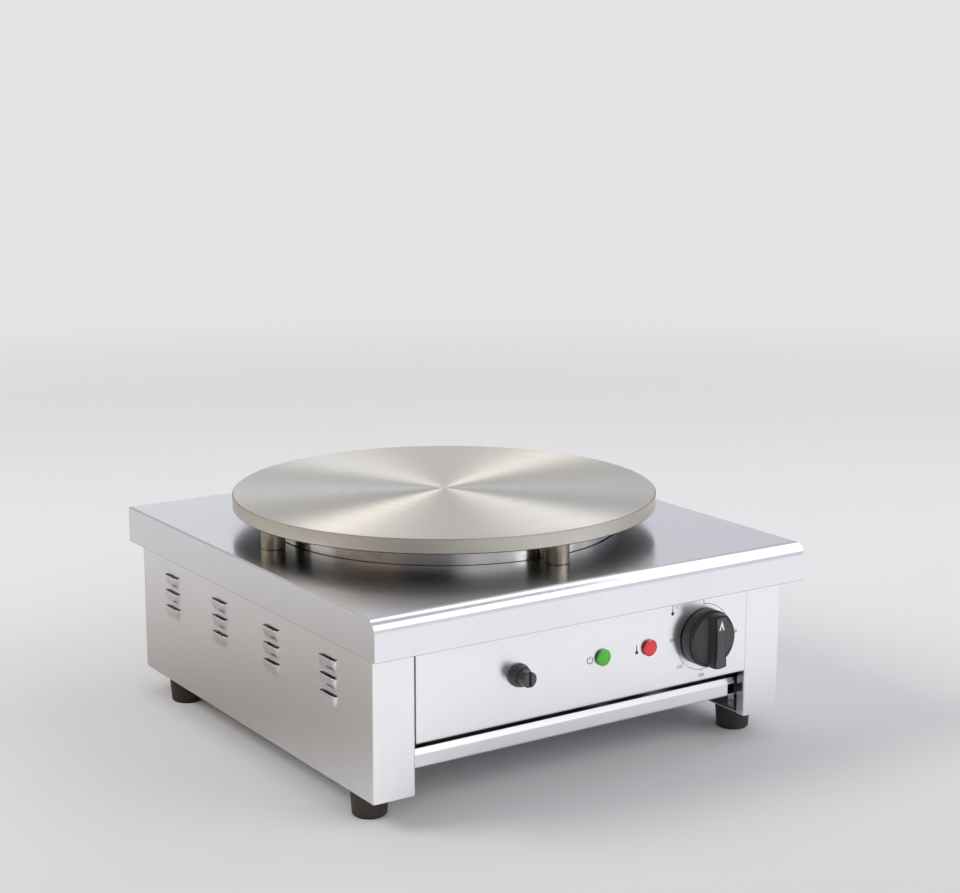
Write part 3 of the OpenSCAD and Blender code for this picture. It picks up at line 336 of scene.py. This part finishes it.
ease = np.sin(np.linspace(-1, 1, 61) * np.pi / 2)
along = ease * (slit / 2 + past_slit)
down = drop * np.linspace(1, 0, 25)[:, None]
outer = hood_height(along, down)
within = (np.abs(ease) < 0.999) & (down < drop - 0.1)
inner = np.where(within, np.maximum(outer - skin, -0.45), outer)
hood_out = np.concatenate([outer, outer[-1:] - lip_break, inner[-1:] + 0.04, inner[::-1]])
hood_down = np.concatenate([down, [[-lip_break], [-lip_break]], down[::-1]])
hood_along = np.broadcast_to(along, hood_out.shape)
rows_z = top_lip_z - row_pitch * np.arange(3)
columns_y = field_y + column_pitch * (np.arange(4) - 1.5)
side, y0, z0 = (a.reshape(-1, 1, 1) for a in np.meshgrid([-1, 1], columns_y, rows_z, indexing="ij"))
hoods = grid_mesh("louvre_hoods", np.stack([side * (wall_x + hood_out), y0 + hood_along,
                                            z0 - hood_down + 0 * hood_out], -1) * mm, [panel_steel])
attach(hoods, "housing")

# The deck's skirt ends in the sheet's sheared edge, deburred round and duller than the faces. Its dark
# grey is also painted shade: it stands in for the line of shade along the skirt's lower edge.
edge_r = 0.45 * mm
deck_low, deck_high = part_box("deck_cover")
curve = np.linspace(0, 2 * np.pi, 17)[:, None]
corner_x = np.array([-1, 1, 1, -1]) * ((deck_high.x - deck_low.x) / 2 - edge_r + edge_r * np.cos(curve))
corner_y = np.array([-1, -1, 1, 1]) * ((deck_high.y - deck_low.y) / 2 - edge_r + edge_r * np.cos(curve))
hem = grid_mesh("deck_skirt_edge", np.stack([corner_x, corner_y + (deck_high.y + deck_low.y) / 2,
                                             deck_low.z + edge_r * np.sin(curve) + 0 * corner_x], -1),
                [brushed_steel("sheared_edge_and_painted_shade", "#8b8c90", 0.5)], closed=True)
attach(hem, "housing")

# ---- Rails, stiffeners and fasteners ---------------------------------------------------
# Zinc-plated steel: the folded channels under the deck, the base pan's angles, and every screw,
# stud, nut, washer and clip. The plating is a little blue and faintly spangled.


def plated(name, tint, rough, spangle=3 * mm, metallic=1.0):
    """Bare or plated metal with crystals or stains of one size: each gives back light unevenly."""
    material, tree = new_tree(name)
    place = add(tree, "ShaderNodeTexCoord", {}).outputs["Object"]
    crystal = add(tree, "ShaderNodeTexVoronoi", {"Vector": place, "Scale": 1 / spangle}).outputs["Color"]
    value = add(tree, "ShaderNodeSeparateColor", {0: crystal}).outputs[0]
    stain = noise(tree, place, 0.3 / spangle, 4.0)
    uneven = add(tree, "ShaderNodeMath", {0: value, 1: stain}, operation="ADD").outputs[0]
    gloss = remap(tree, uneven, 0.3, 1.7, rough - 0.06, rough + 0.06)
    shade = remap(tree, uneven, 0.3, 1.7, 0.86, 1.0)
    colour = darkened(tree, shade, tint)
    relief = add(tree, "ShaderNodeBump", {"Height": uneven, "Strength": 0.08, "Distance": 0.02 * mm})
    metal = add(tree, "ShaderNodeBsdfPrincipled", {"Base Color": colour, "Metallic": metallic,
                                                   "Roughness": gloss, "Normal": relief.outputs[0]})
    return surfaced(material, metal)


zinc = plated("zinc_plated_steel", "#bfc3c9", 0.35)
dress(zinc, "left_pan_rail", "right_pan_rail", "front_stiffener", "rear_stiffener", "plate_studs",
      "plate_nuts", "element_clamp", "pan_stud", "pan_nut", "thermostat_screws", "thermostat_spindle",
      "thermostat_body", "safety_thermostat", "lamp_clips", "bonding_stud", "bonding_nuts",
      "foot_screws", "foot_nuts", "base_screws", "back_screws", "panel_screws", "deck_studs", "deck_nuts")

# ---- Griddle plate ---------------------------------------------------------------------
# A 400 mm disc of cast iron, turned on a lathe on top and round its rim. The tool's fine rings
# fan the light out from the middle. The underside is left as cast, darkened by the heat.

plate_r = 200
plate_t = 13.5
plate_edge = 0.8
plate_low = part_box("griddle_plate")[0]
plate_y = plate_low.y + plate_r * mm
plate_z = plate_low.z


def rounded(corners, steps=6):
    """Open outline through corners (x, y, radius). Each becomes a tangent arc, whose normals turn
    evenly from one leg's to the next. A point just outside each end of it keeps the legs flat."""
    guard = 0.05
    corners = np.array(corners, float)
    points = [corners[0, :2]]
    for before, here, after in zip(corners[:-2, :2], corners[1:-1], corners[2:, :2]):
        corner, radius = here[:2], here[2]
        if radius == 0:
            points.append(corner)
            continue
        into = (corner - before) / np.linalg.norm(corner - before)
        onto = (after - corner) / np.linalg.norm(after - corner)
        turn = np.arctan2(into[0] * onto[1] - into[1] * onto[0], into @ onto)
        leg = radius * math.tan(abs(turn) / 2)
        sweep = np.linspace(0, turn, steps + 1)[:, None]
        side = math.copysign(radius, turn) * np.array([-into[1], into[0]])
        middle = corner - into * leg + side
        arc = middle - np.cos(sweep) * side + np.sin(sweep) * np.array([-side[1], side[0]])
        points += [corner - into * (leg + guard), *arc, corner + onto * (leg + guard)]
    points.append(corners[-1, :2])
    return np.array(points)


def turned_metal(name, tint, rough, spread, middle, lean=0.0):
    """Metal turned on a lathe about an upright axis: rings too fine to see, which smear light
    outwards on a face and upwards on a rim, with faint bands where the tool's feed changed. The
    rings are sawtooth grooves, so on a face the normal leans a little outwards."""
    ring = 0.5 * mm
    band = 9 * mm
    material, tree = new_tree(name)
    place = add(tree, "ShaderNodeTexCoord", {}).outputs["Object"]
    radial = add(tree, "ShaderNodeVectorMath", {0: place, 1: middle}, operation="SUBTRACT").outputs[0]
    axes = add(tree, "ShaderNodeSeparateXYZ", {0: radial})
    flat = add(tree, "ShaderNodeCombineXYZ", {"X": axes.outputs["X"], "Y": axes.outputs["Y"]}).outputs[0]
    radius = add(tree, "ShaderNodeVectorMath", {0: flat}, operation="LENGTH").outputs["Value"]
    depth = add(tree, "ShaderNodeMath", {0: radius, 1: axes.outputs["Z"]}, operation="ADD").outputs[0]
    rings = add(tree, "ShaderNodeTexNoise", {"W": depth, "Scale": 1 / ring, "Detail": 1.0},
                noise_dimensions="1D").outputs["Fac"]
    bands = add(tree, "ShaderNodeTexNoise", {"W": depth, "Scale": 1 / band, "Detail": 2.0},
                noise_dimensions="1D").outputs["Fac"]
    mixed = add(tree, "ShaderNodeMath", {0: rings, 1: bands}, operation="ADD").outputs[0]
    gloss = remap(tree, mixed, 0.6, 1.4, rough - 0.03, rough + 0.03)
    shade = remap(tree, mixed, 0.6, 1.4, 0.95, 1.0)
    colour = darkened(tree, shade, tint)
    outwards = add(tree, "ShaderNodeVectorMath", {0: flat}, operation="NORMALIZE").outputs[0]
    leaning = add(tree, "ShaderNodeVectorMath", {0: outwards, 3: lean}, operation="SCALE").outputs[0]
    normal = add(tree, "ShaderNodeNewGeometry", {}).outputs["Normal"]
    leaned = add(tree, "ShaderNodeVectorMath", {0: normal, 1: leaning}, operation="ADD").outputs[0]
    square = add(tree, "ShaderNodeVectorMath", {0: leaned}, operation="NORMALIZE").outputs[0]
    metal = add(tree, "ShaderNodeBsdfPrincipled", {
        "Base Color": colour, "Metallic": 1.0, "Roughness": gloss, "Anisotropic": spread,
        "Tangent": radial, "Normal": square})
    return surfaced(material, metal)


as_cast = plated("cast_iron_darkened", "#1e1915", 0.55, 1.2 * mm, 0.8)
lathe_middle = (0, plate_y, plate_z - 30 * mm)
turned_face = turned_metal("turned_cast_iron_face", "#d8d4cd", 0.42, 0.88, lathe_middle, 0.11)
turned_rim = turned_metal("turned_cast_iron_rim", "#cbc6bd", 0.5, 0.2, lathe_middle)
plate_profile = rounded([[0, 0, 0], [plate_r, 0, plate_edge], [plate_r, plate_t, plate_edge],
                         [0, plate_t, 0]], 4)
plate = grid_mesh("turned_griddle_plate", turned(plate_profile, 400) * mm + (0, plate_y, plate_z),
                  [turned_face, turned_rim, as_cast], closed=True)
for face in plate.data.polygons:
    face.material_index = 2 if face.normal.z < -0.9 else int(face.normal.z < 0.9)
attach(plate, "housing")
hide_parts("griddle_plate")

# ---- Posts -----------------------------------------------------------------------------
# Four turned steel spacers, 22 mm across, which carry the plate over the deck. A stud screwed
# into the plate runs down through each to a nut under the deck.

turned_posts = turned_metal("turned_steel", "#9d9585", 0.27, 0.2, (0, plate_y, 0))
post_low, post_high = (corner.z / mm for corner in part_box("plate_posts"))
post_r = 11
post_bore_r = 4.2
post_edge = 0.5
post_circle_r = 183
post_profile = rounded([[post_bore_r, post_low, 0], [post_r, post_low, post_edge],
                        [post_r, post_high, post_edge], [post_bore_r, post_high, 0]], 3)
post_turn = turned(post_profile, 72)
post_angle = np.radians([-90, 0, 90, 180])
post_places = post_circle_r * np.stack([np.cos(post_angle), np.sin(post_angle), 0 * post_angle], -1)
posts = grid_mesh("turned_posts", (post_turn + post_places[:, None, None]) * mm + (0, plate_y, 0),
                  [turned_posts], closed=True)
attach(posts, "housing")
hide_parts("plate_posts")

# ---- Heater ----------------------------------------------------------------------------
# A spun pan of polished stainless under the plate, whose wall shows in the gap. Inside it are
# three sheathed elements on a mineral-wool board, held up by a plated disc, and two copper bulbs.

polished = plated("polished_stainless", "#e4e2de", 0.17, 12 * mm)
sheath = plated("oxidised_element_sheath", "#5b5650", 0.45, 2 * mm)
copper = plated("copper", "#c57b52", 0.3)
dress(polished, "heater_pan")
dress(sheath, "element_inner", "element_middle", "element_outer")
dress(copper, "thermostat_bulb", "safety_bulb")


def moulded(name, tint, rough, grain, relief=0.15):
    """A moulding, in a plastic, rubber or board: a fine even grain, and faint blotches of gloss."""
    material, tree = new_tree(name)
    place = add(tree, "ShaderNodeTexCoord", {}).outputs["Object"]
    pits = noise(tree, place, 1 / grain, 2.0)
    cloud = noise(tree, place, 90.0, 3.0)
    gloss = remap(tree, cloud, 0.3, 0.7, rough - 0.05, rough + 0.05)
    shade = remap(tree, pits, 0.3, 0.7, 0.88, 1.0)
    colour = darkened(tree, shade, tint)
    bump = add(tree, "ShaderNodeBump", {"Height": pits, "Strength": relief, "Distance": 0.05 * mm})
    body = add(tree, "ShaderNodeBsdfPrincipled", {"Base Color": colour, "Roughness": gloss, "IOR": 1.5,
                                                  "Normal": bump.outputs[0]})
    return surfaced(material, body)


dress(moulded("mineral_wool_board", "#e8e2d2", 0.9, 0.8 * mm, 0.8), "insulation_disc")

# ---- Thermostat knob -------------------------------------------------------------------
# A moulded black phenolic knob, pushed onto the thermostat's spindle: a ribbed skirt, a dished
# face and a waisted grip across it, whose pointer is printed in white.

front_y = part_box("control_panel")[0].y
controls_z = 109.5 * mm


def on_panel(points, x):
    """Moves points (right, up, out) in millimetres onto the panel's face, about a control's axis:
    (x + right, front - out, height + up)."""
    right, up, out = points[..., 0], points[..., 1], points[..., 2]
    return np.stack([(x + right) * mm, front_y - out * mm, controls_z + up * mm], -1)


knob_x = 126.9
ribs = 72
rib_depth = 0.3
face_r = 23.8
face_h = 14.5
dish_r = 26.0
dish_x = 14.95
dish_depth = 1.3
dish_half_w = 12
grip_w = 11.4
grip_end_w = 15.6
grip_reach = 24.5
grip_root = 13.4
grip_top = 24.9
grip_edge = 1.3
ink_lift = 0.04

phenolic = moulded("black_phenolic", "#48484a", 0.36, 0.25 * mm)
skirt_profile = rounded([[0, 11.2, 0], [3.2, 11.2, 0.2], [3.2, 2.9, 0.2], [6, 2.9, 0.3], [6, 9.6, 0.3],
                         [23.8, 9.6, 0.5], [23.8, 1, 0.3], [26, 1, 0.3], [26, 12, 0.9], [24.5, 12, 0.3],
                         [24.2, face_h, 0.3], [face_r, face_h, 0]], 4)
face_rows = np.linspace(face_r, 0, 44)[1:, None] * (1, 0) + (0, face_h)
skirt = turned(np.vstack([skirt_profile, face_rows]), 576)
reach = np.hypot(skirt[..., 0], skirt[..., 1])
angle = np.arctan2(skirt[..., 1], skirt[..., 0])
on_wall = (reach > 25.5) & (skirt[..., 2] > 1.5) & (skirt[..., 2] < 11.6)
rib_cut = np.where(on_wall, rib_depth * (0.5 - 0.5 * np.cos(ribs * angle)), 0)
skirt[..., :2] *= 1 - rib_cut[..., None] / np.maximum(reach, 1)[..., None]
from_dish = np.minimum(np.abs(np.abs(skirt[..., 0]) - dish_x), dish_half_w)
bowl = dish_r - dish_depth - np.sqrt(dish_r ** 2 - from_dish ** 2)
rim_fade = np.clip((face_r - 0.2 - reach) / 0.9, 0, 1)
on_face = (skirt[..., 2] > face_h - 0.1) & (reach < face_r - 0.1)
skirt[..., 2] += np.where(on_face, np.minimum(bowl, 0) * rim_fade, 0)
knob_skirt = grid_mesh("knob_skirt", on_panel(skirt, knob_x), [phenolic], closed=True, sharp=35)

# The grip's outline, by its direction from the middle, is the nearer of its end's circle and its
# waisted side's circle, blended over half a millimetre. Its points crowd towards the ends, and rings
# of it are drawn in as they rise.
flare = (grip_end_w - grip_w) / 2
waist_r = (grip_reach ** 2 + flare ** 2) / (2 * flare)
along = np.linspace(0, 2 * np.pi, 288, endpoint=False)
heading = along - 0.42 * np.sin(2 * along)
grip_profile = rounded([[0, grip_root, 0], [0, grip_top, grip_edge], [4, grip_top, 0]], 6)
inset, height = grip_profile[:-1, :1], grip_profile[:-1, 1:]
middle_x = grip_w / 2 + waist_r
sine = np.abs(np.sin(heading))
root = (middle_x * sine) ** 2 - middle_x ** 2 + (waist_r + inset) ** 2
side_rho = np.where(root > 0, middle_x * sine - np.sqrt(np.maximum(root, 0)), 99.0)
end_rho = grip_reach - inset + 0 * sine
softness = 0.4
rho = -softness * np.log(np.exp(-side_rho / softness) + np.exp(-end_rho / softness))
grip = np.stack([rho * np.sin(heading), rho * np.cos(heading), height + 0 * rho], -1)
spine = grip[-1:] * (0, 1, 1)
knob_grip = grid_mesh("knob_grip", on_panel(np.concatenate([grip, spine]), knob_x), [phenolic],
                      closed=True, sharp=50)

white_ink = moulded("white_pad_print", "#f4f4f2", 0.5, 0.3 * mm, 0.05)
stroke = 0.85
tip, foot_line, spread_x = 20.3, 11.4, 2.3
fork = tip - 4.6
pointer_outline = np.array([[0, tip], [spread_x + stroke, foot_line], [spread_x - stroke, foot_line],
                            [0, fork], [stroke - spread_x, foot_line],
                            [-stroke - spread_x, foot_line]])
lift = np.full((6, 1), grip_top + ink_lift)
pointer = solid_mesh("knob_pointer", on_panel(np.hstack([pointer_outline, lift]), knob_x),
                     np.array([[0, 3, 2, 1], [0, 5, 4, 3]]), [white_ink])
for piece in (knob_skirt, knob_grip, pointer):
    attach(piece, "control_knob")
for piece in (knob_skirt, knob_grip):
    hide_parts("knob")

# ---- Dial and symbols ------------------------------------------------------------------
# Dark grey ink, screen-printed on the control panel: the temperature scale round the knob, and
# the signs for power and for heating beside the two lamps.

ink = moulded("dark_grey_screen_print", "#4b4c50", 0.55, 0.3 * mm, 0.05)
marks = []


def ribbon(points, width):
    """A flat ribbon along a line (n, 2): each point moved half the width to either side, square to
    the line's direction there."""
    ahead = np.gradient(points, axis=0)
    square = np.stack([-ahead[:, 1], ahead[:, 0]], -1) / np.linalg.norm(ahead, axis=1)[:, None]
    edges = np.stack([points + square * width / 2, points - square * width / 2], 1)
    return np.concatenate([edges, np.full((*edges.shape[:2], 1), ink_lift)], -1)


def arc(radius, start, stop, middle=(0, 0), steps=96):
    """Points of a circle, clockwise from straight up: (r sin a, r cos a)."""
    a = np.radians(np.linspace(start, stop, steps))
    return np.stack([radius * np.sin(a), radius * np.cos(a)], -1) + middle


def printed(name, points, x):
    """A printed mark from ribbon points."""
    marks.append(grid_mesh(name, on_panel(points, x), [ink]))


def lettered(name, words, size, middle, x):
    """A printed figure or unit, set in a plain typeface about its middle."""
    curve = bpy.data.curves.new(name, "FONT")
    curve.body = words
    curve.size = size
    curve.align_x = "CENTER"
    curve.align_y = "CENTER"
    draft = bpy.data.objects.new(name, curve)
    mesh = bpy.data.meshes.new_from_object(draft)
    bpy.data.objects.remove(draft)
    flat = np.zeros(len(mesh.vertices) * 3)
    mesh.vertices.foreach_get("co", flat)
    points = flat.reshape(-1, 3) + (*middle, ink_lift)
    mesh.vertices.foreach_set("co", on_panel(points, x).ravel())
    mesh.materials.clear()
    mesh.materials.append(ink)
    made = bpy.data.objects.new(name, mesh)
    bpy.context.collection.objects.link(made)
    marks.append(made)


dial_middle = (-0.4, -0.5)
dial_r = 30.4
tick_r = 32.2
number_r = 36.4
first_mark = 93
mark_step = 45
printed("dial_arc", ribbon(arc(dial_r, 0, first_mark + 4 * mark_step, dial_middle), 0.45), knob_x)
printed("dial_off_tick", ribbon(np.array([[-0.4, 29.7], [-0.4, 31.5], [-0.4, 33.3]]), 0.6), knob_x)
for i in range(5):
    degrees = first_mark + mark_step * i
    number = str(100 + 50 * i)
    tick = np.concatenate([arc(r, degrees, degrees, dial_middle, 1) for r in (dial_r, tick_r)])
    printed("dial_tick_" + number, ribbon(tick, 0.5), knob_x)
    lettered("dial_number_" + number, number, 4.4, arc(number_r, degrees, degrees, steps=1)[0], knob_x)
scale_sign_x = -36
heating_x = 51
printed("dial_thermometer_stem",
        ribbon(np.array([[scale_sign_x, 27.0], [scale_sign_x, 30.0], [scale_sign_x, 34.0]]), 0.8), knob_x)
printed("dial_thermometer_bulb", ribbon(arc(0.85, 0, 360, (scale_sign_x, 26.4), 25), 1.69), knob_x)
lettered("dial_unit", "°C", 4.2, (-31.5, 31.6), knob_x)
printed("power_ring", ribbon(arc(3.0, 32, 328, (0, -0.6)), 0.8), 0)
printed("power_bar", ribbon(np.array([[0, 0.2], [0, 2.0], [0, 3.4]]), 0.8), 0)
printed("heating_stem", ribbon(np.array([[0, -1.0], [0, 1.5], [0, 4.2]]), 1.1), heating_x)
printed("heating_bulb", ribbon(arc(0.9, 0, 360, (0, -2.4), 25), 1.79), heating_x)
for piece in marks:
    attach(piece, "housing")

# ---- Safety reset ----------------------------------------------------------------------
# The overheat cut-out's button stands in a threaded bush. A black fluted ring nut holds the bush,
# and a slotted screw cap covers the button. It has to come off before the button can be pressed.

reset_x = -75.0
flutes = 18
collar_profile = rounded([[5.1, 0, 0], [10.25, 0, 0.2], [10.25, 2.2, 0.3], [9.75, 2.7, 0.2],
                          [9.05, 6.4, 0.2], [8.45, 7, 0.2], [5.1, 7, 0.3], [5.1, 0, 0]], 3)
flute_r = 1.1
flute_circle_r = 10.4
collar = turned(collar_profile, 16 * flutes)
reach = np.hypot(collar[..., 0], collar[..., 1])
angle = np.arctan2(collar[..., 1], collar[..., 0])
offset = (angle * flutes / (2 * np.pi) + 0.5) % 1 - 0.5
across = np.clip(np.sin(offset * 2 * np.pi / flutes) * flute_circle_r / flute_r, -1, 1)
floor_r = np.where(collar[..., 2] > 2.6, flute_circle_r - flute_r * np.sqrt(1 - across ** 2), np.inf)
collar[..., :2] *= (np.minimum(reach, floor_r) / reach)[..., None]
reset_nut = grid_mesh("reset_ring_nut", on_panel(collar, reset_x), [phenolic], closed=True, sharp=35)
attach(reset_nut, "housing")
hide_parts("reset_collar")

# The button's return spring is wound from 0.56 mm wire. It stands on the cut-out's body, 4 mm behind
# the panel's face: a helix (R cos w, R sin w, p w) of radius R, with a circle of the wire's radius
# carried along it, shut at both ends.
wire_r = 0.28
coil_r = 2.24
spring_turns = 3.5
spring_low = -3.98
spring_high = 0.56
winding = np.linspace(0, 1, 90)[:, None]
round_wire = np.linspace(0, 2 * np.pi, 12, endpoint=False)
wind_angle = winding * spring_turns * 2 * np.pi
wire = np.where((winding == 0) | (winding == 1), 0, wire_r)
coil = coil_r + wire * np.cos(round_wire)
rise = spring_low + wire_r + (spring_high - spring_low - 2 * wire_r) * winding
spring_points = np.stack([coil * np.cos(wind_angle), coil * np.sin(wind_angle),
                          rise + wire * np.sin(round_wire)], -1)
spring = grid_mesh("return_spring", on_panel(spring_points, reset_x), [zinc], closed=True)
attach(spring, "housing")
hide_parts("reset_spring")
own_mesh(spring)

dress(phenolic, "reset_cap")
dress(moulded("red_nylon", "#b3302b", 0.4, 0.2 * mm), "reset_button")

# ---- Pilot lamps -----------------------------------------------------------------------
# Two clear acrylic lenses, one green for power and one red for heating, with a bevelled rim round
# a low dome. Each is pressed into the panel and lit by a neon tube in a white housing behind it.


def acrylic(name, tint):
    """Dyed acrylic: glossy and clear, so light soaks in and the colour glows from below the skin."""
    material, tree = new_tree(name)
    place = add(tree, "ShaderNodeTexCoord", {}).outputs["Object"]
    swirl = noise(tree, place, 400.0, 2.0)
    shade = remap(tree, swirl, 0.3, 0.7, 0.9, 1.0)
    colour = darkened(tree, shade, tint)
    body = add(tree, "ShaderNodeBsdfPrincipled", {"Base Color": colour, "Roughness": 0.2, "IOR": 1.49,
                                                  "Coat Weight": 0.3, "Coat Roughness": 0.1})
    return surfaced(material, body)


lens_h = 3.0
dome_r = 5.4
dome_rise = 0.55
lens_profile = rounded([[0, -3.9, 0], [4.35, -3.9, 0.3], [4.35, 0, 0.1], [7.45, 0, 0.1], [7.5, 2.2, 0.3],
                        [6.1, 3.1, 0.3], [5.5, lens_h, 0.2], [0, lens_h, 0]], 4)
dome_rows = np.linspace(dome_r, 0, 16)[:, None]
dome = np.hstack([dome_rows, lens_h + dome_rise * (1 - (dome_rows / dome_r) ** 2)])
lens_turn = turned(np.vstack([lens_profile[:-1], dome]), 96)
# The faces that don't look forward get a darker copy of each lens's acrylic: painted shade on the rim's
# walls.
for colour_name, tint, painted_shade_tint, x in (("green", "#4fbf2a", "#2f6f1e", 13.5),
                                        ("red", "#f22c36", "#8f1a20", 64.5)):
    lit = acrylic(colour_name + "_acrylic", tint)
    unlit = acrylic(colour_name + "_acrylic_painted_shade", painted_shade_tint)
    lamp = grid_mesh(colour_name + "_lens", on_panel(lens_turn, x), [lit, unlit], closed=True)
    for face in lamp.data.polygons:
        face.material_index = int(face.normal.y > -0.5)
    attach(lamp, "housing")
    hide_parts(colour_name + "_lamp_lens")

# ---- Feet ------------------------------------------------------------------------------
# Four tapered feet of dark brown-black rubber, each screwed up from a deep recess under it.

rubber = moulded("nitrile_rubber", "#37302d", 0.62, 0.5 * mm, 0.3)
foot_profile = rounded([[3.2, 24.3, 0], [16.7, 24.3, 0.6], [14.8, 0, 1.4], [7.5, 0, 0.8],
                        [7.5, 17.3, 0.5], [3.2, 17.3, 0.2], [3.2, 24.3, 0]], 5)
foot_turn = turned(foot_profile, 120)
for name in ("front_left_foot", "front_right_foot", "rear_left_foot", "rear_right_foot"):
    low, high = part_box(name)
    place = ((low.x + high.x) / 2, (low.y + high.y) / 2, 0)
    foot = grid_mesh(name.replace("foot", "rubber_foot"), foot_turn * mm + place, [rubber], closed=True)
    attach(foot, "housing")
    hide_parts(name)

# ---- Mains terminals -------------------------------------------------------------------
# A white polyamide terminal block inside, a black nylon cable gland through the back panel, and
# the white housings behind the two lamps.

dress(moulded("white_polyamide", "#e6e3da", 0.5, 0.3 * mm), "terminal_block", "green_lamp_body",
      "red_lamp_body")
dress(moulded("black_nylon", "#1f2022", 0.42, 0.3 * mm), "cable_gland", "gland_dome_nut", "gland_locknut")
